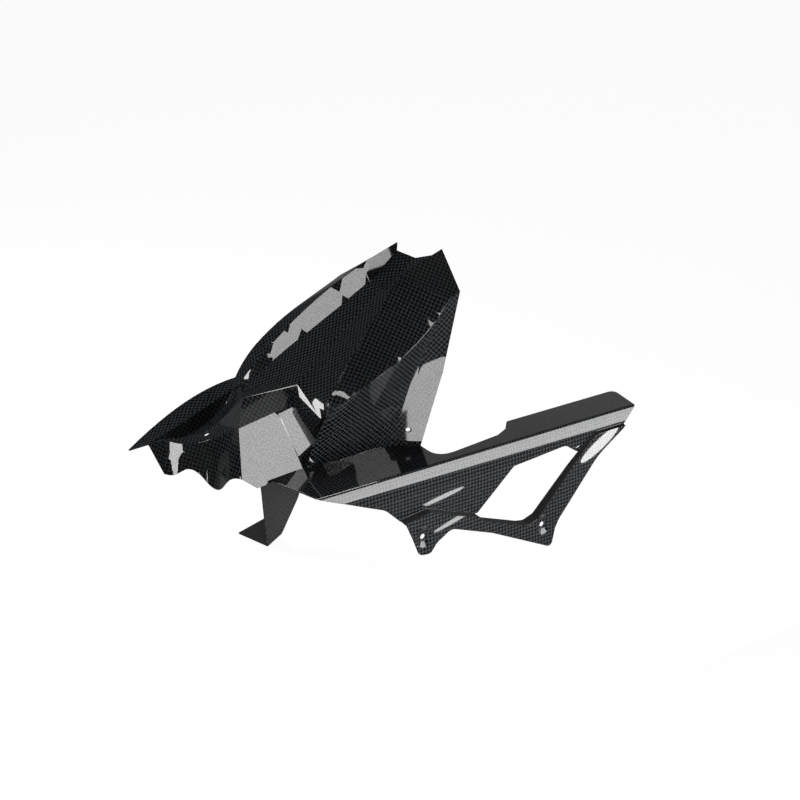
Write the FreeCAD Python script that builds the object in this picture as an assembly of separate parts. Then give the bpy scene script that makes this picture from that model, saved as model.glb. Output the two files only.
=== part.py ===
"""Motorcycle rear mudguard with chain guard, one cured carbon laminate.

Frame: the origin is the front lug's bore, on the floor of its dish. X runs
rearwards, Y towards the bike's right side and Z up, in millimetres.
"""
import FreeCAD, Part
import math
import os

V = FreeCAD.Vector

# Laminate
SKIN = 2.0

# Wheel plane, the mudguard body is mirrored about it
WHEEL_Y = 146.0

# Chain guard section
PANEL_Y = 13.0
GUARD_TOP = 78.0
CROWN_FOOT = 45.0
CROWN_LEAN = 20.0
EDGE_R = 2.0
GUARD_FRONT = -129.5
GUARD_REAR = 329.5
PLATE_WIDTH = 55.3
NECK_WIDTH = 22.3
NOTCH_X = (44.0, 66.0, 136.0, 154.0, 168.0)
PLATE_TIP = (-148.0, 57.5)

# Lugs
LUG_PITCH_X = 175.0
LUG_DROP = 35.6
BORE_R = 3.25
DISH_R = 10.5
DISH_DEPTH = 2.2
FRAME_LEAN = 4.3

# Screw holes in the body
APRON_HOLE_R = 3.25
APRON_HOLE_X = -183.0
APRON_HOLE_OFFSET = 28.0
FLANK_HOLE_R = 2.5
FLANK_HOLE_X = 33.0
FLANK_HOLE_RISE = 20.0
DRILL_REACH = 60.0

# Reach of the front apron to the right of the wheel plane
APRON_REACH = 100.0

# Stay on the right side
STAY_FOOT = -72.6
STAY_HEEL_WIDTH = 21.0
STAY_TAB = 42.0

# The body's hem stands on the chain guard's top plate
HEM_Z = GUARD_TOP - SKIN / 2

# Rails of the body as (x, half width from the wheel plane, z), front to rear
RIDGE = ((-87, 76, 163), (-41, 65, 209), (11, 46, 254), (41.5, 33, 277), (103, 31, 297))
FOOT = ((-86, 64, 141), (-41, 50, 192), (11, 30, 234), (38, 22, 255), (98, 27, 290))
SHOULDER = ((-83.6, 74, 150), (-51, 96, 180.5), (6, 92, 203.5), (81.5, 76, 253.5), (98, 75, 259))
WAIST = ((-93.5, 62, 112), (-56, 74, 128), (-6.6, 70, 140.7), (39.5, 58.8, 149.7), (73.8, 76.6, 164.7))
HEM = ((-103, 51, HEM_Z), (-60, 54, HEM_Z), (-20, 54, HEM_Z), (12.5, 57.5, HEM_Z), (43, 76, HEM_Z))
FLOOR = ((-82.4, 8.2, 162.1), (-41, 0, 190), (11, 0, 231), (38, 0, 252), (87, 0, 280))

# Where the right side differs from the left: its front end, its fuller shoulder and its shorter fin
RIDGE_FRONT_R = (-111, 78, 139)
RIDGE_TIP_R = (82, 31, 291.6)
FOOT_FRONT_R = (-110, 67, 138.5)
FOOT_TIP_R = (79, 27, 283)
SHOULDER_R = ((-104.4, APRON_REACH, 137.9), (-67, 94, 185.5), (-21, 88, 216), (28.5, 74, 248), (80, 72, 262))
WAIST_FRONT_R = (-119, 88, 112)
HEM_FRONT_R = (-116, 74, 84)

# Corners of the facets below the body's front edge, as (x, offset from the wheel plane, z), or (x, z)
# for those that lie in the plane of the first two and the hem's front end
FACET_TOP_REAR = (-97, -21, 144)
FACET_LOW_FRONT = (-165, -56, HEM_Z - 4.7)
FACET_TOP_FRONT = (-171.4, 136.8)
FACET_NOSE = (-182.4, 85.5)
FACET_CORNERS = ((-103.1, 144.5), (-93.4, 142.8))
FACET_WAIST = (-82.6, 95.5)
DECK_FRONT = (-155.4, -11, 164.4)
LEDGE_CORNERS = ((-94.3, -11, 160.9), (-87.7, -20.2, 152.2))
FRONT_CREASE = (-167, 32, 119)

# Rails of the front apron, from its front end to the body
APRON_BRIM = ((-249, APRON_REACH, 80.6), (-199, APRON_REACH, 110.5), (-168.5, APRON_REACH, 124))
APRON_LIP = ((-235, 76, 94), (-192, 74, 109.7), (-150.5, 74, 125.5))
APRON_WALL = ((-231, 70, 93), (-172, 67.3, 101.5), (-150, 68.5, 112))
APRON_POCKET = ((-223.5, 59, 104), (-199, 49, 104), (-181, 35, 111.5))
APRON_CHIN = ((-222.4, 53, 104.4), (-210, 36, 103), (-189, 13, 111.2))
APRON_HEM = ((-232, 44, 67.7), (-223.8, 38, 66.2), (-209.5, 20, 77.4), (-196, -9, 59.5), (-189.5, -39, 83.5))
APRON_STATIONS = 9
WALL_END = 0.25


def unit(vector):
    """Return the vector at length one."""
    return vector * (1.0 / vector.Length)


def spline(points):
    """Return an edge through the points, straight for two of them."""
    if len(points) == 2:
        return Part.makeLine(points[0], points[1])
    curve = Part.BSplineCurve()
    curve.interpolate(list(points))
    return curve.toShape()


def side_rail(rows, side):
    """Return a rail's points on the left (-1) or the right (1) of the wheel plane."""
    return [V(x, WHEEL_Y + side * half, z) for x, half, z in rows]


class Cage:
    """A skin of strips and facets, thickened to a solid by one laminate thickness.

    A strip is ruled between two rails with the same number of stations. Each
    rail may be split at stations where the skin has a crease.
    """

    def __init__(self):
        self.normals = {}
        self.sheets = []
        self.edges = {}

    @staticmethod
    def key(point):
        return (round(point.x, 3), round(point.y, 3), round(point.z, 3))

    def note(self, loop):
        """Add a loop's corner normals to the points it touches."""
        count = len(loop)
        for i in range(count):
            here = loop[i]
            ahead = loop[(i + 1) % count] - here
            back = loop[i - 1] - here
            normal = ahead.cross(back)
            if normal.Length > 1e-6:
                self.normals.setdefault(self.key(here), []).append(unit(normal))

    def add_edge(self, points):
        """Count an edge, so that edges met once are known as the rim."""
        keys = [self.key(p) for p in points]
        name = tuple(min(keys, keys[::-1]))
        count, _ = self.edges.get(name, (0, None))
        self.edges[name] = (count + 1, points)

    def strip(self, upper, lower, creases=()):
        """Rule a strip between two rails, outwards seen with the upper rail on the right."""
        cuts = [0] + list(creases) + [len(upper) - 1]
        for i in range(len(upper) - 1):
            self.note([upper[i], lower[i], lower[i + 1], upper[i + 1]])
        for start, end in zip(cuts[:-1], cuts[1:]):
            rail_a = upper[start:end + 1]
            rail_b = lower[start:end + 1]
            self.sheets.append((rail_a, rail_b))
            self.add_edge(rail_a)
            self.add_edge(rail_b)
            self.add_edge([rail_a[0], rail_b[0]])
            self.add_edge([rail_a[-1], rail_b[-1]])

    def facet(self, corners, facing):
        """Add a facet of straight edges that looks towards the given direction."""
        normal = (corners[1] - corners[0]).cross(corners[2] - corners[0])
        loop = list(corners) if normal.dot(facing) > 0 else list(corners)[::-1]
        self.note(loop)
        self.sheets.append((loop, None))
        for i in range(len(loop)):
            self.add_edge([loop[i - 1], loop[i]])

    def inner(self, point):
        """Return the point moved in by one thickness from every face that meets there."""
        normals = self.normals[self.key(point)]
        ease = 0.01
        m = [[ease if r == c else 0.0 for c in range(3)] for r in range(3)]
        rhs = V(0, 0, 0)
        for n in normals:
            row = (n.x, n.y, n.z)
            for r in range(3):
                for c in range(3):
                    m[r][c] += row[r] * row[c]
            rhs += n * SKIN
        matrix = FreeCAD.Matrix(m[0][0], m[0][1], m[0][2], 0, m[1][0], m[1][1], m[1][2], 0,
                                m[2][0], m[2][1], m[2][2], 0, 0, 0, 0, 1)
        return point - matrix.inverse().multiply(rhs)

    @staticmethod
    def ruled(rail_a, rail_b):
        return Part.makeRuledSurface(spline(rail_a), spline(rail_b))

    @staticmethod
    def fan(loop):
        """Return the flat faces of a polygon, or of its triangles where it isn't flat."""
        normal = unit((loop[1] - loop[0]).cross(loop[2] - loop[0]))
        if all(abs(normal.dot(p - loop[0])) < 1e-6 for p in loop):
            return [Part.Face(Part.makePolygon(loop + [loop[0]]))]
        return [Part.Face(Part.makePolygon([loop[0], loop[i], loop[i + 1], loop[0]]))
                for i in range(1, len(loop) - 1)]

    def solid(self):
        """Sew the outer skin, the inner skin and the rim to one solid."""
        faces = []
        for first, second in self.sheets:
            if second is None:
                faces += self.fan(first)
                faces += self.fan([self.inner(p) for p in first])
            else:
                faces.append(self.ruled(first, second))
                faces.append(self.ruled([self.inner(p) for p in first], [self.inner(p) for p in second]))
        for count, points in self.edges.values():
            if count == 1:
                faces.append(self.ruled(points, [self.inner(p) for p in points]))
        shell = Part.makeShell(faces)
        shell.sewShape()
        body = Part.makeSolid(shell if shell.ShapeType == "Shell" else shell.Shells[0])
        if body.Volume < 0:
            body.reverse()
        return body


def prism(points, axis, start, end):
    """Extrude a closed outline along an axis between two heights.

    Each point is (a, b) or (a, b, corner radius). The outline lies in the
    plane XZ for the axis Y, in XY for Z and in YZ for X.
    """
    place = {"Y": lambda a, b: V(a, start, b), "Z": lambda a, b: V(a, b, start), "X": lambda a, b: V(start, a, b)}
    along = {"Y": V(0, end - start, 0), "Z": V(0, 0, end - start), "X": V(end - start, 0, 0)}
    corners = [(place[axis](p[0], p[1]), p[2] if len(p) > 2 else 0.0) for p in points]
    count = len(corners)
    ends = []
    for i in range(count):
        here, radius = corners[i]
        to_back = unit(corners[i - 1][0] - here)
        to_next = unit(corners[(i + 1) % count][0] - here)
        if radius <= 0:
            ends.append((here, None, here))
            continue
        half = to_back.getAngle(to_next) / 2
        cut = radius / math.tan(half)
        bisector = unit(to_back + to_next)
        centre = here + bisector * (radius / math.sin(half))
        ends.append((here + to_back * cut, centre - bisector * radius, here + to_next * cut))
    edges = []
    for i in range(count):
        first, middle, last = ends[i]
        if middle is not None:
            edges.append(Part.Arc(first, middle, last).toShape())
        following = ends[(i + 1) % count][0]
        if (following - last).Length > 1e-6:
            edges.append(Part.makeLine(last, following))
    return Part.Face(Part.Wire(edges)).extrude(along[axis])


def shifted(points, distance):
    """Return an open outline moved sideways, to the right of its direction."""
    moved = []
    for i, point in enumerate(points):
        turns = []
        for j in (i - 1, i):
            if 0 <= j < len(points) - 1:
                dx = points[j + 1][0] - points[j][0]
                dz = points[j + 1][1] - points[j][1]
                length = math.hypot(dx, dz)
                turns.append((dz / length, -dx / length))
        nx = sum(t[0] for t in turns) / len(turns)
        nz = sum(t[1] for t in turns) / len(turns)
        size = nx * nx + nz * nz
        moved.append((point[0] + nx / size * distance, point[1] + nz / size * distance))
    return moved


def body():
    """Return the mudguard body with its front facets and apron."""
    left = {n: side_rail(r, -1) for n, r in (("ridge", RIDGE), ("foot", FOOT), ("shoulder", SHOULDER),
                                             ("waist", WAIST), ("hem", HEM))}
    right = {n: side_rail(r, 1) for n, r in (
        ("ridge", (RIDGE_FRONT_R,) + RIDGE[1:-1] + (RIDGE_TIP_R,)),
        ("foot", (FOOT_FRONT_R,) + FOOT[1:-1] + (FOOT_TIP_R,)),
        ("shoulder", SHOULDER_R),
        ("waist", (WAIST_FRONT_R,) + WAIST[1:]),
        ("hem", (HEM_FRONT_R,) + HEM[1:]))}
    floor = side_rail(FLOOR, -1)
    cage = Cage()
    crease = (3,)
    cage.strip(right["hem"], right["waist"], crease)
    cage.strip(right["waist"], right["shoulder"], crease)
    cage.strip(right["shoulder"], right["ridge"], crease)
    cage.strip(right["ridge"], right["foot"], crease)
    cage.strip(right["foot"], floor, crease)
    cage.strip(floor, left["foot"], crease)
    cage.strip(left["foot"], left["ridge"], crease)
    cage.strip(left["ridge"], left["shoulder"], crease)
    cage.strip(left["shoulder"], left["waist"], crease)
    cage.strip(left["waist"], left["hem"], crease)

    top_rear, low_front, deck_front, front_crease = side_rail(
        (FACET_TOP_REAR, FACET_LOW_FRONT, DECK_FRONT, FRONT_CREASE), 1)
    ledge_left, ledge_right = side_rail(LEDGE_CORNERS, 1)
    low_rear = left["hem"][0]
    normal = unit((low_rear - top_rear).cross(low_front - top_rear))

    def on_facet(x, z):
        y = top_rear.y - (normal.x * (x - top_rear.x) + normal.z * (z - top_rear.z)) / normal.y
        return V(x, y, z)

    top_front = on_facet(*FACET_TOP_FRONT)
    nose = on_facet(*FACET_NOSE)
    waist = on_facet(*FACET_WAIST)
    corner_left, corner_right = [on_facet(x, z) for x, z in FACET_CORNERS]
    apex = floor[0]
    foot, ridge, shoulder, hip = [left[n][0] for n in ("foot", "ridge", "shoulder", "waist")]
    foot_r = right["foot"][0]
    ridge_r = right["ridge"][0]
    wall_end = ridge_r + (front_crease - ridge_r) * WALL_END
    forward = V(-1, -0.3, 0)
    upward = V(0, -0.4, 0.9)
    cage.facet([low_front, low_rear, waist, corner_right, corner_left, top_front, nose], V(0, -1, 0.4))
    cage.facet([top_front, corner_left, ledge_left, deck_front], V(0, -1, 0.5))
    cage.facet([ledge_left, corner_left, corner_right, ledge_right], V(-0.65, -0.7, 0.25))
    cage.facet([deck_front, ledge_left, apex], upward)
    cage.facet([ledge_left, ledge_right, apex], upward)
    cage.facet([ledge_right, foot, apex], upward)
    cage.facet([deck_front, foot_r, ridge_r], V(0, 0, 1))
    cage.facet([deck_front, apex, foot_r], V(0, 0, 1))
    cage.facet([deck_front, ridge_r, wall_end, front_crease, top_front], V(-1, 0, 0.4))
    cage.facet([corner_right, foot, ledge_right], forward)
    cage.facet([corner_right, waist, foot], forward)
    cage.facet([waist, shoulder, foot], forward)
    cage.facet([foot, shoulder, ridge], forward)
    cage.facet([waist, hip, shoulder], forward)
    cage.facet([waist, low_rear, hip], forward)

    ends = (right["shoulder"][0], ridge_r, wall_end, front_crease, top_front, nose)
    apron = []
    for rows, end in zip((APRON_BRIM, APRON_LIP, APRON_WALL, APRON_POCKET, APRON_CHIN, APRON_HEM), ends):
        rail = side_rail(rows, 1) + [end]
        points = spline(rail).discretize(Number=APRON_STATIONS)
        points[0] = rail[0]
        points[-1] = rail[-1]
        apron.append(points)
    for upper, lower in zip(apron[:-1], apron[1:]):
        cage.strip(upper, lower)
    lip, wall, pocket, chin, hem = [rail[0] for rail in apron[1:]]
    cage.facet([lip, hem, chin, pocket, wall], forward)
    return cage.solid()


def half_space(y):
    """Return a block outside the lug frame's plane, which leans about the line through both bores."""
    reach = 3 * GUARD_REAR
    block = Part.makeBox(reach, reach, reach, V(-reach / 2, y - reach, -reach / 2))
    return leaned(block)


def leaned(shape):
    """Return a shape of the lug frame turned by its lean about the line through both bores."""
    turned = shape.copy()
    turned.rotate(V(0, 0, 0), V(LUG_PITCH_X, 0, -LUG_DROP), -FRAME_LEAN)
    return turned


def guard():
    """Return the chain guard with its two lugs."""
    lean = math.radians(CROWN_LEAN)
    edge_r = EDGE_R + SKIN
    radius = edge_r + (GUARD_TOP - CROWN_FOOT - edge_r) / math.sin(lean)
    crown = V(0, PANEL_Y + radius, CROWN_FOOT)
    edge = crown + V(0, -math.cos(lean), math.sin(lean)) * (radius - edge_r)
    plate_y = PANEL_Y + PLATE_WIDTH
    neck_y = PANEL_Y + NECK_WIDTH
    low = -60.0

    def lug(dx, dz, r=0):
        return (LUG_PITCH_X + dx, dz - LUG_DROP, r)

    def tail(dx, dz, r=0):
        return (GUARD_REAR + dx, GUARD_TOP + dz, r)

    # The joggle line, where the lug frame stands out from the panel
    joggle = [(-24, 23.5), (13, 28), (47, 14), (80, 3), (88, -5.5), lug(-31, 8.6), lug(-20, 6.6), lug(-6, 11.1),
              lug(47, 63.3), tail(-73.5, -21), tail(-62, -18), tail(-23, -18)]
    inner_joggle = shifted(joggle, SKIN)

    # The panel's section is a flat with a crown that leans inwards and a round edge to the top plate
    def arc(centre, r, start, end):
        points = [centre + V(0, -r * math.cos(t), r * math.sin(t)) for t in (start, (start + end) / 2, end)]
        return Part.Arc(points[0], points[1], points[2]).toShape()

    square = math.radians(90)
    section = Part.Wire([
        Part.makeLine(V(0, PANEL_Y, low), V(0, PANEL_Y, CROWN_FOOT)),
        arc(crown, radius, 0, lean),
        arc(edge, edge_r, lean, square),
        Part.makeLine(V(0, edge.y, GUARD_TOP), V(0, edge.y, GUARD_TOP - SKIN)),
        arc(edge, EDGE_R, square, lean),
        arc(crown, radius - SKIN, lean, 0),
        Part.makeLine(V(0, PANEL_Y + SKIN, CROWN_FOOT), V(0, PANEL_Y + SKIN, low)),
        Part.makeLine(V(0, PANEL_Y + SKIN, low), V(0, PANEL_Y, low))])
    sheet = Part.Face(section).extrude(V(GUARD_REAR - GUARD_FRONT + 20, 0, 0))
    sheet.translate(V(GUARD_FRONT - 10, 0, 0))
    trim = ([(GUARD_FRONT, GUARD_TOP + 1), (GUARD_FRONT, GUARD_TOP - 1), (GUARD_FRONT + 37.5, GUARD_TOP - 16, 60),
             (-44, 41.5, 25)]
            + inner_joggle[:4] + [(86, 1), (139, GUARD_TOP - 30, 6), tail(-113, -24, 12), tail(-93, -38, 6)]
            + inner_joggle[9:] + [tail(0, -1), tail(0, 1)])
    panel = sheet.common(prism(trim, "Y", PANEL_Y - 20, PANEL_Y + 40))

    # The top plate, with a notch beside the wheel; its inner edge lies just inside the body's hem
    seam = [(x - 0.5 * (i == 0), WHEEL_Y - half + SKIN) for i, (x, half, _) in enumerate(HEM[:1:-1])]
    plate = prism([(GUARD_FRONT, edge.y), (GUARD_REAR, edge.y), (GUARD_REAR + 7, plate_y, 8),
                   (NOTCH_X[4], plate_y, 5), (NOTCH_X[3], plate_y - 16, 8), (NOTCH_X[2], neck_y + 8, 12),
                   (NOTCH_X[1], neck_y, 40), (NOTCH_X[0], neck_y + 1, 16)] + seam
                  + [(HEM[0][0], WHEEL_Y - HEM[0][1] + SKIN), (PLATE_TIP[0], WHEEL_Y - PLATE_TIP[1])],
                  "Z", GUARD_TOP - SKIN, GUARD_TOP)

    outline = joggle + [tail(-25, -21, 3), tail(-67, -46.5, 90), lug(24.8, 0.4, 12), lug(19, -9.4, 10),
                        lug(12, -32.9, 6), lug(-35.8, -8.5, 60), (98.3, -23.7, 60), (40, -1, 14), (18, -12.6, 20),
                        (9, -23.5, 9), (-7, -21.5, 9), (-14.5, 0, 40)]
    frame = leaned(prism(outline, "Y", 0, SKIN))
    wall = prism(joggle + inner_joggle[::-1], "Y", -SKIN, PANEL_Y + SKIN).cut(half_space(0))
    solid = panel.fuse([plate, frame, wall])

    for x, z in ((0, 0), (LUG_PITCH_X, -LUG_DROP)):
        inward = V(0, 1, 0)
        centre = V(x, 0, z)
        boss = Part.makeCylinder(DISH_R + SKIN, SKIN + DISH_DEPTH, centre, inward)
        dish = Part.makeCone(DISH_R, BORE_R + SKIN, DISH_DEPTH, centre, inward)
        bore = Part.makeCylinder(BORE_R, 40, centre - inward * 20, inward)
        solid = solid.fuse(boss).cut(dish).cut(bore)
    return solid


def stay():
    """Return the right-hand stay with its foot tab, hung from the body's right hem."""
    outer = WHEEL_Y + 54
    heel = -94.6
    rise = 12.0
    toe = heel + STAY_HEEL_WIDTH
    leg = prism([(-118, HEM_Z + 6), (-101, 10, 80), (heel, STAY_FOOT), (toe, STAY_FOOT + rise, 10),
                 (-47.4, -14.8, 60), (-28, HEM_Z + 6)], "Y", outer - SKIN, outer)
    corners = [V(heel, outer - SKIN, STAY_FOOT), V(toe, outer - SKIN, STAY_FOOT + rise),
               V(toe, outer + STAY_TAB, STAY_FOOT + rise), V(heel - 16, outer + STAY_TAB, STAY_FOOT + 3)]
    tab = Part.Face(Part.makePolygon([corners[0], corners[1], corners[2], corners[0]])).extrude(V(0, 0, SKIN))
    tab = tab.fuse(Part.Face(Part.makePolygon([corners[0], corners[2], corners[3], corners[0]])).extrude(V(0, 0, SKIN)))
    return leg.fuse(tab)


if __name__ == "__main__":
    os.makedirs("parts", exist_ok=True)
    shape = body().fuse([guard(), stay()])
    apron_hole = Part.makeCylinder(APRON_HOLE_R, DRILL_REACH, V(APRON_HOLE_X, WHEEL_Y + APRON_HOLE_OFFSET, HEM_Z))
    flank_hole = Part.makeCylinder(FLANK_HOLE_R, DRILL_REACH / 2, V(
        FLANK_HOLE_X, WHEEL_Y - HEM[-1][1] - DRILL_REACH / 6, HEM_Z + FLANK_HOLE_RISE), V(0, 1, 0))
    shape = shape.cut(apron_hole).cut(flank_hole).removeSplitter()
    shape.translate(V(0, -DISH_DEPTH, 0))
    shape.exportStep("parts/mudguard_shell.step")
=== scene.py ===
"""A motorcycle rear mudguard with chain guard in clear-coated carbon, in a plain studio.

The part is one cured laminate. A copy of its CAD shell is merged, given worked
edges and laid with cloth, then lit by soft boxes over a pale floor. Frame: X
rearwards, Y towards the bike's right side, Z up, in metres.
"""

import logging
import math
from dataclasses import dataclass
from enum import Enum
from itertools import combinations
from typing import Any

import bpy
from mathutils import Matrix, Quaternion, Vector


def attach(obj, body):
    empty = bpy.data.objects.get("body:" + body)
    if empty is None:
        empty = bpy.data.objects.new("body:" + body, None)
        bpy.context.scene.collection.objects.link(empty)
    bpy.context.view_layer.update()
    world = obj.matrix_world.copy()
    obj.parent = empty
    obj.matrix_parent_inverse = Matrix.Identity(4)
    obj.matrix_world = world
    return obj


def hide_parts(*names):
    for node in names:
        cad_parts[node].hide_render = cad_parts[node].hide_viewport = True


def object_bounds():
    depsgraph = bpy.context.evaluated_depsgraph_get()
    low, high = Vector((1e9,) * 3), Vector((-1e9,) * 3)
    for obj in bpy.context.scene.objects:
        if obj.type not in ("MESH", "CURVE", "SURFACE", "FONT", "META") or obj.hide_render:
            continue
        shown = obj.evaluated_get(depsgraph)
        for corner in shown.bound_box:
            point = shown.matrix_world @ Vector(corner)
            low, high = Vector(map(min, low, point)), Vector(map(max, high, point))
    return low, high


LOG = logging.getLogger("mudguard")
MM = 0.001
SHELL_NODE = "mudguard_shell"
WEAVE_UV = "weave"
STRETCH = "stretch"
ROUNDING = "bevel_weight_edge"
DISH_WALL = -1
DISH_FLOOR = -2
BLACK = (0, 0, 0, 1)
WHITE = (1, 1, 1, 1)

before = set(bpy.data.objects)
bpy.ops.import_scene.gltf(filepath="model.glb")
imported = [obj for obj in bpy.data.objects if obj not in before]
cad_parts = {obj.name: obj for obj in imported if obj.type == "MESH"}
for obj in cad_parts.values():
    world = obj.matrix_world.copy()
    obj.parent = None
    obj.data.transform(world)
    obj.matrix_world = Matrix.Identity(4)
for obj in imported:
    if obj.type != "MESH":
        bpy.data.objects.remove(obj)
CAD_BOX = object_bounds()


def linear(code: str) -> tuple[float, float, float, float]:
    """Turn an sRGB hex colour to linear.

    Args:
        code: six hex digits after a hash sign.

    Returns:
        The linear colour with alpha one.
    """
    values = [int(code[i:i + 2], 16) / 255 for i in (1, 3, 5)]
    lin = [v / 12.92 if v <= 0.04045 else ((v + 0.055) / 1.055) ** 2.4 for v in values]
    return (lin[0], lin[1], lin[2], 1.0)


def add_node(tree: bpy.types.NodeTree, kind: str, inputs: dict[Any, Any],
             **settings: Any) -> bpy.types.Node:
    """Add a node, set its options and fill or link its inputs.

    Args:
        tree: the node tree that gets the node.
        kind: the node's type name.
        inputs: input name or number to a value, or to the output socket that feeds it.
        settings: the node's own options.

    Returns:
        The new node.
    """
    node = tree.nodes.new(kind)
    for name, value in settings.items():
        setattr(node, name, value)
    for key, value in inputs.items():
        if isinstance(value, bpy.types.NodeSocket):
            tree.links.new(value, node.inputs[key])
        else:
            node.inputs[key].default_value = value
    return node


def new_material(name: str) -> tuple[bpy.types.Material, bpy.types.NodeTree, bpy.types.Node]:
    """Make an empty node material.

    Args:
        name: the material's name.

    Returns:
        The material, its tree and its output node.
    """
    material = bpy.data.materials.new(name)
    material.use_nodes = True
    tree = material.node_tree
    tree.nodes.clear()
    return material, tree, tree.nodes.new("ShaderNodeOutputMaterial")


def only(obj: bpy.types.Object) -> None:
    """Deselect everything and make one object active.

    Args:
        obj: the object to work on.
    """
    bpy.ops.object.select_all(action="DESELECT")
    obj.select_set(True)
    bpy.context.view_layer.objects.active = obj


class Layup(Enum):
    """How the cloth lies on a stretch of the shell, as the turn of its tows from the part's length."""

    STRAIGHT = 0.0
    BIAS = math.radians(45.0)


@dataclass(frozen=True)
class PlainWeave:
    """Plain-weave cloth: tows that pass over and under each other in turn, with the tows' sheen painted
    in: warp-over squares take the light warp colour, weft-over squares the dark weft colour.
    """

    warp: str
    weft: str
    tow_height: float
    tow_width: float = 3.2 * MM

    def sockets(self, tree: bpy.types.NodeTree) -> tuple[bpy.types.NodeSocket, bpy.types.NodeSocket]:
        """Build the weave on the shell's own map.

        Args:
            tree: the material's tree.

        Returns:
            The cloth's colour, a checker of painted sheen, and its normal.
        """
        uv = add_node(tree, "ShaderNodeUVMap", {}, uv_map=WEAVE_UV)
        scale = 1 / self.tow_width
        tows = add_node(tree, "ShaderNodeMapping", {0: uv.outputs[0], "Scale": (scale, scale, scale)})
        over = add_node(tree, "ShaderNodeTexChecker", {
            "Vector": tows.outputs[0], "Scale": 1.0, "Color1": WHITE, "Color2": BLACK}).outputs["Fac"]
        split = add_node(tree, "ShaderNodeSeparateXYZ", {0: tows.outputs[0]})
        arches = []
        for axis in ("X", "Y"):
            turn = add_node(tree, "ShaderNodeMath", {0: split.outputs[axis], 1: math.pi},
                            operation="MULTIPLY")
            wave = add_node(tree, "ShaderNodeMath", {0: turn.outputs[0]}, operation="SINE")
            arch = add_node(tree, "ShaderNodeMath", {0: wave.outputs[0]}, operation="ABSOLUTE")
            arches.append(arch.outputs[0])
        height = add_node(tree, "ShaderNodeMix", {0: over, 2: arches[0], 3: arches[1]})
        # painted sheen: the checker gives warp-over squares a light colour and weft-over squares a dark
        # one, in place of the tows' directional reflection
        colour = add_node(tree, "ShaderNodeMix", {0: over, 6: linear(self.weft), 7: linear(self.warp)},
                          data_type="RGBA")
        bump = add_node(tree, "ShaderNodeBump", {
            "Height": height.outputs[0], "Strength": 1.0, "Distance": self.tow_height})
        return colour.outputs[2], bump.outputs[0]


@dataclass(frozen=True)
class CoatedCarbon:
    """Plain-weave carbon cloth in epoxy, lacquered: woven squares deep under a hard, wet gloss, the tows'
    sheen painted into them as light and near-black squares.
    """

    # painted sheen: the light warp and near-black weft colours stand in for the tows' directional
    # reflection
    cloth: PlainWeave = PlainWeave(warp="#4b4e52", weft="#060607", tow_height=0.12 * MM)
    tow_roughness: float = 0.42
    tow_gloss: float = 0.03
    coat_roughness: float = 0.03
    lacquer_ior: float = 1.5

    def material(self) -> bpy.types.Material:
        """Make the finish.

        Returns:
            The lacquered laminate.
        """
        material, tree, out = new_material("lacquered_carbon_cloth")
        colour, normal = self.cloth.sockets(tree)
        shader = add_node(tree, "ShaderNodeBsdfPrincipled", {
            "Base Color": colour, "Normal": normal, "Roughness": self.tow_roughness,
            "IOR": self.lacquer_ior, "Specular IOR Level": self.tow_gloss, "Coat Weight": 1.0,
            "Coat Roughness": self.coat_roughness, "Coat IOR": self.lacquer_ior})
        tree.links.new(shader.outputs[0], out.inputs[0])
        return material


@dataclass(frozen=True)
class RawCarbon:
    """The laminate's inner side as it left the vacuum bag: dull grey, with the weave printed through and
    the tows' sheen painted as lighter and darker squares.
    """

    # painted sheen: the lighter warp and darker weft colours stand in for the tows' reflection
    cloth: PlainWeave = PlainWeave(warp="#4c4c4d", weft="#3c3c3d", tow_height=0.10 * MM)
    roughness: float = 0.55

    def material(self) -> bpy.types.Material:
        """Make the finish.

        Returns:
            The raw laminate.
        """
        material, tree, out = new_material("raw_carbon_cloth")
        colour, normal = self.cloth.sockets(tree)
        shader = add_node(tree, "ShaderNodeBsdfPrincipled", {
            "Base Color": colour, "Normal": normal, "Roughness": self.roughness})
        tree.links.new(shader.outputs[0], out.inputs[0])
        return material


@dataclass(frozen=True)
class LugDish:
    """The dish around a lug's bore: a cone from its mouth in the lug's face down to its floor."""

    centre: Vector
    mouth: float = 10.5 * MM
    floor: float = 5.25 * MM
    depth: float = 2.2 * MM
    reach: float = 2.0 * MM
    skim: float = 0.05 * MM
    sides: int = 64

    def clear(self, shell: bpy.types.Object) -> None:
        """Cut the dish clear of the thin skin that the leaning frame leaves over its lower half.

        Args:
            shell: the merged shell.
        """
        spread = (self.mouth - self.floor) / self.depth
        height = self.depth + self.reach
        bpy.ops.mesh.primitive_cone_add(
            vertices=self.sides, radius1=self.mouth + spread * self.reach, radius2=self.floor,
            depth=height, location=self.centre + Vector((0, self.skim - height / 2, 0)),
            rotation=(-math.pi / 2, 0, 0))
        cutter = bpy.context.object
        numbers = cutter.data.attributes.new(STRETCH, "INT", "FACE")
        for face in cutter.data.polygons:
            is_cap = len(face.vertices) == self.sides
            numbers.data[face.index].value = DISH_FLOOR if is_cap else DISH_WALL
        only(shell)
        cut = shell.modifiers.new("dish", "BOOLEAN")
        cut.operation = "DIFFERENCE"
        cut.solver = "EXACT"
        cut.object = cutter
        bpy.ops.object.modifier_apply(modifier=cut.name)
        bpy.data.objects.remove(cutter)


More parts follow.
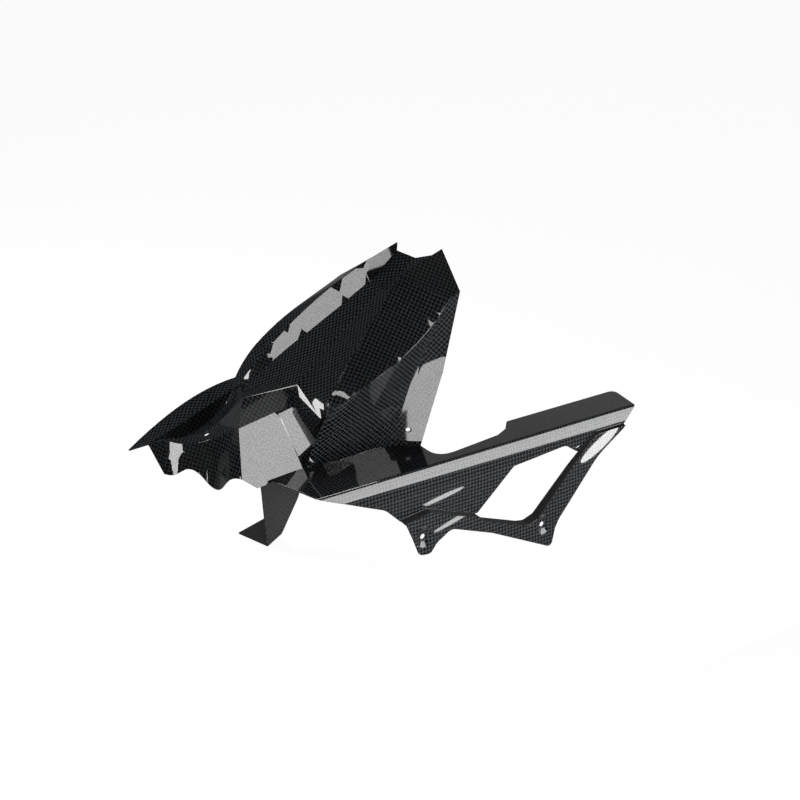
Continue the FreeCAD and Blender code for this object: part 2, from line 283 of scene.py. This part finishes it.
@dataclass
class MudguardShell:
    """The laminate: the CAD shell with worked edges, cloth laid on it and lacquer outside."""

    dishes: tuple[LugDish, ...] = (LugDish(Vector((0, 0, 0))), LugDish(Vector((175.0, 0, -35.6)) * MM))
    merge: float = 0.02 * MM
    flat_angle: float = math.radians(0.6)
    flat_crease: float = math.radians(1.0)
    curved_crease: float = math.radians(9.0)
    rounded_crease: float = math.radians(12.0)
    tight_corner: float = math.radians(20.0)
    edge_width: float = 0.6 * MM
    edge_segments: int = 2
    core: Vector = Vector((0.0, 0.144, 0.040))
    guard_top: float = 79 * MM
    guard_side: float = 68 * MM
    end_on: float = 0.9
    least_area: float = 1e-12

    def build(self) -> bpy.types.Object:
        """Build the piece that stands for the CAD shell.

        Returns:
            The dressed shell.
        """
        piece = self.copy_of_cad()
        self.mark_creases(piece.data)
        self.spare_tight_corners(piece.data)
        self.lay_cloth(piece.data)
        self.work_edges(piece)
        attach(piece, "root")
        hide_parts(SHELL_NODE)
        LOG.info("%s: %d faces", piece.name, len(piece.data.polygons))
        return piece

    def copy_of_cad(self) -> bpy.types.Object:
        """Copy the CAD shell, merge its triangles, clear the dishes and the edges inside flat faces.

        Returns:
            The merged copy.
        """
        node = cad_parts[SHELL_NODE]
        piece = bpy.data.objects.new("mudguard_laminate", node.data.copy())
        bpy.context.collection.objects.link(piece)
        self.number_stretches(piece.data)
        only(piece)
        bpy.ops.mesh.customdata_custom_splitnormals_clear()
        bpy.ops.object.mode_set(mode="EDIT")
        bpy.ops.mesh.select_all(action="SELECT")
        bpy.ops.mesh.mark_sharp(clear=True)
        bpy.ops.mesh.remove_doubles(threshold=self.merge)
        bpy.ops.mesh.dissolve_degenerate(threshold=self.merge)
        bpy.ops.mesh.select_all(action="DESELECT")
        bpy.ops.object.mode_set(mode="OBJECT")
        for dish in self.dishes:
            dish.clear(piece)
        for faces in self.stretches(piece.data).values():
            flat = self.is_flat(faces)
            for face in faces:
                face.select = flat
        bpy.ops.object.mode_set(mode="EDIT")
        bpy.ops.mesh.dissolve_limited(angle_limit=self.flat_angle)
        bpy.ops.object.mode_set(mode="OBJECT")
        return piece

    def is_flat(self, faces: list[bpy.types.MeshPolygon]) -> bool:
        """Tell whether a stretch of skin is flat.

        Args:
            faces: the faces of the stretch.

        Returns:
            True if all of them face the same way.
        """
        return all(face.normal.angle(faces[0].normal, 0.0) < self.flat_crease for face in faces)

    def number_stretches(self, mesh: bpy.types.Mesh) -> None:
        """Number the stretches of skin, which share no vertex in the CAD mesh.

        Args:
            mesh: the CAD mesh before it is merged.
        """
        above = list(range(len(mesh.vertices)))

        def top(vertex: int) -> int:
            """Return the vertex that stands for all those joined to this one."""
            while above[vertex] != vertex:
                above[vertex] = above[above[vertex]]
                vertex = above[vertex]
            return vertex

        for face in mesh.polygons:
            for vertex in face.vertices:
                above[top(vertex)] = top(face.vertices[0])
        numbers = mesh.attributes.new(STRETCH, "INT", "FACE")
        for face in mesh.polygons:
            numbers.data[face.index].value = top(face.vertices[0])

    def stretches(self, mesh: bpy.types.Mesh) -> dict[int, list[bpy.types.MeshPolygon]]:
        """Sort the faces by stretch of skin.

        Args:
            mesh: the merged shell.

        Returns:
            The faces by the stretch's number.
        """
        found: dict[int, list[bpy.types.MeshPolygon]] = {}
        for face in mesh.polygons:
            found.setdefault(mesh.attributes[STRETCH].data[face.index].value, []).append(face)
        return found

    def mark_creases(self, mesh: bpy.types.Mesh) -> None:
        """Mark the edges where two stretches meet at an angle, and weigh those that are rounded.

        Args:
            mesh: the merged shell.
        """
        flat = {number: self.is_flat(faces) for number, faces in self.stretches(mesh).items()}
        by_edge: dict[tuple[int, int], list[bpy.types.MeshPolygon]] = {}
        for face in mesh.polygons:
            for key in face.edge_keys:
                by_edge.setdefault(key, []).append(face)
        weights = mesh.attributes.new(ROUNDING, "FLOAT", "EDGE")
        numbers = mesh.attributes[STRETCH].data
        for edge in mesh.edges:
            pair = by_edge[edge.key]
            first, second = (numbers[face.index].value for face in pair)
            if first == second:
                continue
            angle = pair[0].normal.angle(pair[1].normal, 0.0)
            limit = self.flat_crease if flat[first] and flat[second] else self.curved_crease
            edge.use_edge_sharp = angle > limit
            weights.data[edge.index].value = float(angle > max(limit, self.rounded_crease))

    def spare_tight_corners(self, mesh: bpy.types.Mesh) -> None:
        """Keep the rounding off corners where two edges lie too close together for it.

        Args:
            mesh: the shell with its creases marked.
        """
        spokes: dict[int, list[tuple[Vector, int]]] = {}
        for edge in mesh.edges:
            first, second = edge.vertices
            way = mesh.vertices[second].co - mesh.vertices[first].co
            spokes.setdefault(first, []).append((way, edge.index))
            spokes.setdefault(second, []).append((-way, edge.index))
        weights = mesh.attributes[ROUNDING].data
        tight = set()
        for vertex, around in spokes.items():
            for (way, edge), (other_way, other) in combinations(around, 2):
                rounded = weights[edge].value + weights[other].value > 0
                if rounded and way.angle(other_way, math.pi) < self.tight_corner:
                    tight.add(vertex)
        for edge in mesh.edges:
            if tight.intersection(edge.vertices):
                weights[edge.index].value = 0.0

    def lay_cloth(self, mesh: bpy.types.Mesh) -> None:
        """Lay the cloth on each stretch of skin and lacquer the outer ones.

        Args:
            mesh: the merged shell.
        """
        mesh.materials.clear()
        mesh.materials.append(CoatedCarbon().material())
        mesh.materials.append(RawCarbon().material())
        layer = mesh.uv_layers.new(name=WEAVE_UV)
        for faces in self.stretches(mesh).values():
            area = sum(f.area for f in faces)
            normal = sum((f.normal * f.area for f in faces), Vector()).normalized()
            centre = sum((f.center * f.area for f in faces), Vector()) / max(area, self.least_area)
            inside = normal.dot(self.core - centre) > 0
            on_guard = centre.y < self.guard_side and centre.z < self.guard_top
            warp = self.warp_way(normal, Layup.BIAS if on_guard else Layup.STRAIGHT)
            weft = normal.cross(warp)
            for face in faces:
                face.material_index = 1 if inside else 0
                for loop in face.loop_indices:
                    spot = mesh.vertices[mesh.loops[loop].vertex_index].co
                    layer.data[loop].uv = (spot.dot(warp), spot.dot(weft))

    def warp_way(self, normal: Vector, layup: Layup) -> Vector:
        """Find the way that the warp runs on a stretch of skin.

        Args:
            normal: the stretch's mean normal.
            layup: how the cloth is turned there.

        Returns:
            The warp's direction in the stretch.
        """
        along = Vector((1, 0, 0))
        if abs(normal.x) > self.end_on:
            along = Vector((0, 1, 0))
        along = (along - normal * along.dot(normal)).normalized()
        return along * math.cos(layup.value) + normal.cross(along) * math.sin(layup.value)

    def work_edges(self, piece: bpy.types.Object) -> None:
        """Round the creases and rims and shade the stretches between them smooth.

        Args:
            piece: the shell with its cloth.
        """
        only(piece)
        bevel = piece.modifiers.new("worked_edges", "BEVEL")
        bevel.width = self.edge_width
        bevel.segments = self.edge_segments
        bevel.limit_method = "WEIGHT"
        bevel.use_clamp_overlap = False
        bevel.loop_slide = False
        bpy.ops.object.modifier_apply(modifier=bevel.name)
        bpy.ops.object.shade_smooth(keep_sharp_edges=True)
        flats = piece.modifiers.new("flat_stretches", "WEIGHTED_NORMAL")
        flats.mode = "FACE_AREA"
        flats.keep_sharp = True
        bpy.ops.object.modifier_apply(modifier=flats.name)


class Shine(Enum):
    """What a lamp does: it is mirrored in the lacquer, or it lights the cloth below."""

    MIRRORED = "mirrored"
    FILL = "fill"


class Front(Enum):
    """The shape of a lamp's diffuser."""

    SQUARE = "RECTANGLE"
    OVAL = "ELLIPSE"


@dataclass
class SoftBox:
    """A soft box: a lamp behind a diffuser, with the radiance that its reflection shows.

    The roll, in degrees, turns the diffuser about the way it faces.
    """

    name: str
    aim: Vector
    place: Vector
    width: float
    height: float
    radiance: float
    shine: Shine = Shine.MIRRORED
    front: Front = Front.SQUARE
    roll: float = 0.0

    def build(self) -> bpy.types.Object:
        """Place the soft box, facing its aim.

        Returns:
            The lamp.
        """
        way = (self.place - self.aim).normalized()
        bpy.ops.object.light_add(type="AREA", location=self.place)
        lamp = bpy.context.object
        lamp.name = self.name
        turn = Quaternion((0, 0, 1), math.radians(self.roll))
        lamp.rotation_euler = (way.to_track_quat("Z", "Y") @ turn).to_euler()
        lamp.data.shape = self.front.value
        lamp.data.size = self.width
        lamp.data.size_y = self.height
        lamp.data.energy = self.radiance * math.pi * self.width * self.height
        lamp.visible_camera = False
        lamp.visible_diffuse = self.shine is Shine.FILL
        lamp.visible_glossy = self.shine is Shine.MIRRORED
        LOG.info("%s: %.2f x %.2f m", self.name, self.width, self.height)
        return lamp


@dataclass
class Studio:
    """The pale floor, the dim room and the soft boxes."""

    floor_drop: float = 6 * MM
    floor_size: float = 12.0
    floor_colour: str = "#8c8c8c"
    floor_glow: float = 0.95
    floor_sheen: float = 0.15
    floor_roughness: float = 0.9
    room: str = "#393a3b"
    backdrop: str = "#fafafa"
    room_strength: float = 1.0

    def build(self) -> None:
        """Build the floor, the room and the lamps."""
        self.floor()
        self.world()
        for box in self.mirrored_boxes() + self.fill_boxes():
            box.build()

    def mirrored_boxes(self) -> list[SoftBox]:
        """List the lamps that the lacquer mirrors, each aimed at the facet that shows it.

        Returns:
            The lamps, the large ones over the body first, then the cards beside the guard and stay.
        """
        return [
            SoftBox("side_box", aim=Vector((0.15, 0.10, 0.10)), place=Vector((0.69, -0.90, 0.27)),
                    width=0.62, height=0.60, radiance=9.0),
            SoftBox("recess_box", aim=Vector((-0.0991, 0.1076, 0.1118)),
                    place=Vector((-0.0927, 0.0975, 0.1151)), width=0.0182, height=0.066, radiance=9.0),
            SoftBox("fin_box", aim=Vector((0.0, 0.195, 0.23)), place=Vector((-0.66, -0.15, 0.77)),
                    width=0.50, height=0.13, radiance=8.0),
            SoftBox("fin_tip_box", aim=Vector((0.055, 0.174, 0.278)), place=Vector((0.108, -0.242, 0.549)),
                    width=0.048, height=0.024, radiance=7.0),
            SoftBox("rear_box", aim=Vector((0.051, 0.076, 0.143)), place=Vector((-0.222, -0.560, 0.032)),
                    width=0.168, height=0.172, radiance=8.0),
            SoftBox("skirt_box", aim=Vector((-0.218, 0.185, 0.089)), place=Vector((-0.89, -0.05, 0.06)),
                    width=0.24, height=0.20, radiance=12.0),
            SoftBox("ledge_box", aim=Vector((-0.10, 0.133, 0.162)), place=Vector((0.218, 0.11, 0.67)),
                    width=0.16, height=0.12, radiance=13.0),
            SoftBox("step_box", aim=Vector((-0.086, 0.11, 0.15)), place=Vector((-0.488, 0.41, 0.48)),
                    width=0.14, height=0.14, radiance=14.0),
            SoftBox("top_panel", aim=Vector((-0.13, 0.127, 0.153)), place=Vector((0.365, -0.593, 0.639)),
                    width=0.11, height=0.06, radiance=0.6),
            SoftBox("panel_card", aim=Vector((0.0349, 0.0108, 0.0371)),
                    place=Vector((0.1383, -0.1342, -0.0539)), width=0.060, height=0.005, radiance=8.0,
                    front=Front.OVAL, roll=26.0),
            SoftBox("arm_card", aim=Vector((0.2648, 0.0051, 0.0453)),
                    place=Vector((0.3875, -0.139, -0.0193)), width=0.069, height=0.012, radiance=12.0,
                    front=Front.OVAL, roll=41.6),
            SoftBox("stay_card", aim=Vector((-0.083, 0.196, -0.021)),
                    place=Vector((-0.039, 0.119, -0.066)), width=0.045, height=0.06, radiance=2.0),
            SoftBox("back_panel", aim=Vector((0.24, 0.05, 0.08)), place=Vector((0.80, 0.78, 0.50)),
                    width=0.90, height=0.60, radiance=0.30),
        ]

    def fill_boxes(self) -> list[SoftBox]:
        """List the lamps that light the cloth below the lacquer.

        Returns:
            The lamps.
        """
        return [
            SoftBox("front_fill", aim=Vector((-0.05, 0.15, 0.18)), place=Vector((-0.65, 0.93, 0.88)),
                    width=0.60, height=0.60, radiance=4.6, shine=Shine.FILL),
            SoftBox("side_fill", aim=Vector((0.05, 0.08, 0.12)), place=Vector((0.50, -1.00, 0.35)),
                    width=0.80, height=0.60, radiance=0.7, shine=Shine.FILL),
            SoftBox("low_fill", aim=Vector((0.10, 0.02, 0.05)), place=Vector((0.10, -0.30, -0.05)),
                    width=0.80, height=0.35, radiance=2.8, shine=Shine.FILL),
        ]

    def floor(self) -> None:
        """Lay the floor just below the part."""
        low = CAD_BOX[0][2] - self.floor_drop
        bpy.ops.object.select_all(action="DESELECT")
        bpy.ops.mesh.primitive_plane_add(size=self.floor_size, location=(0, 0, low))
        sheet = bpy.context.object
        sheet.name = "studio_floor"
        material, tree, out = new_material("pale_paper")
        path = add_node(tree, "ShaderNodeLightPath", {})
        clear = add_node(tree, "ShaderNodeMath", {
            0: path.outputs["Is Camera Ray"], 1: path.outputs["Is Transmission Ray"]}, operation="ADD")
        seen = add_node(tree, "ShaderNodeMath", {
            0: path.outputs["Is Glossy Ray"], 1: self.floor_sheen, 2: clear.outputs[0]},
            operation="MULTIPLY_ADD")
        glow = add_node(tree, "ShaderNodeMath", {0: seen.outputs[0], 1: self.floor_glow},
                        operation="MULTIPLY")
        paper = add_node(tree, "ShaderNodeBsdfPrincipled", {
            "Base Color": linear(self.floor_colour), "Roughness": self.floor_roughness,
            "Specular IOR Level": 0.0, "Emission Color": WHITE, "Emission Strength": glow.outputs[0]})
        tree.links.new(paper.outputs[0], out.inputs[0])
        sheet.data.materials.append(material)

    def world(self) -> None:
        """Light the room dimly, with a white backdrop for the camera."""
        world = bpy.data.worlds.new("dim_room")
        bpy.context.scene.world = world
        world.use_nodes = True
        tree = world.node_tree
        tree.nodes.clear()
        path = add_node(tree, "ShaderNodeLightPath", {})
        seen = add_node(tree, "ShaderNodeMath", {
            0: path.outputs["Is Camera Ray"], 1: path.outputs["Is Transmission Ray"]}, operation="ADD")
        shade = add_node(tree, "ShaderNodeMix", {
            0: seen.outputs[0], 6: linear(self.room), 7: linear(self.backdrop)}, data_type="RGBA")
        glow = add_node(tree, "ShaderNodeBackground", {
            "Color": shade.outputs[2], "Strength": self.room_strength})
        out = tree.nodes.new("ShaderNodeOutputWorld")
        tree.links.new(glow.outputs[0], out.inputs[0])


@dataclass
class PhotoCamera:
    """The camera at the photograph's viewing angle."""

    place: Vector = Vector((-1056.0, -1518.5, 995.6)) * MM
    azimuth: float = math.radians(34.0)
    elevation: float = math.radians(24.0)
    lens: float = 81.9
    sensor: float = 36.0
    sight: float = 50.0

    def build(self) -> bpy.types.Object:
        """Place the camera.

        Returns:
            The camera.
        """
        bpy.ops.object.camera_add(location=self.place)
        camera = bpy.context.object
        camera.name = "photo_camera"
        camera.rotation_euler = (math.pi / 2 - self.elevation, 0, -self.azimuth)
        camera.data.lens = self.lens
        camera.data.sensor_width = self.sensor
        camera.data.clip_end = self.sight
        bpy.context.scene.camera = camera
        return camera


def main() -> None:
    """Build the shell, the studio and the camera."""
    logging.basicConfig(level=logging.INFO)
    bpy.context.scene.view_settings.view_transform = "Standard"
    MudguardShell().build()
    Studio().build()
    PhotoCamera().build()


if __name__ == "__main__":
    main()
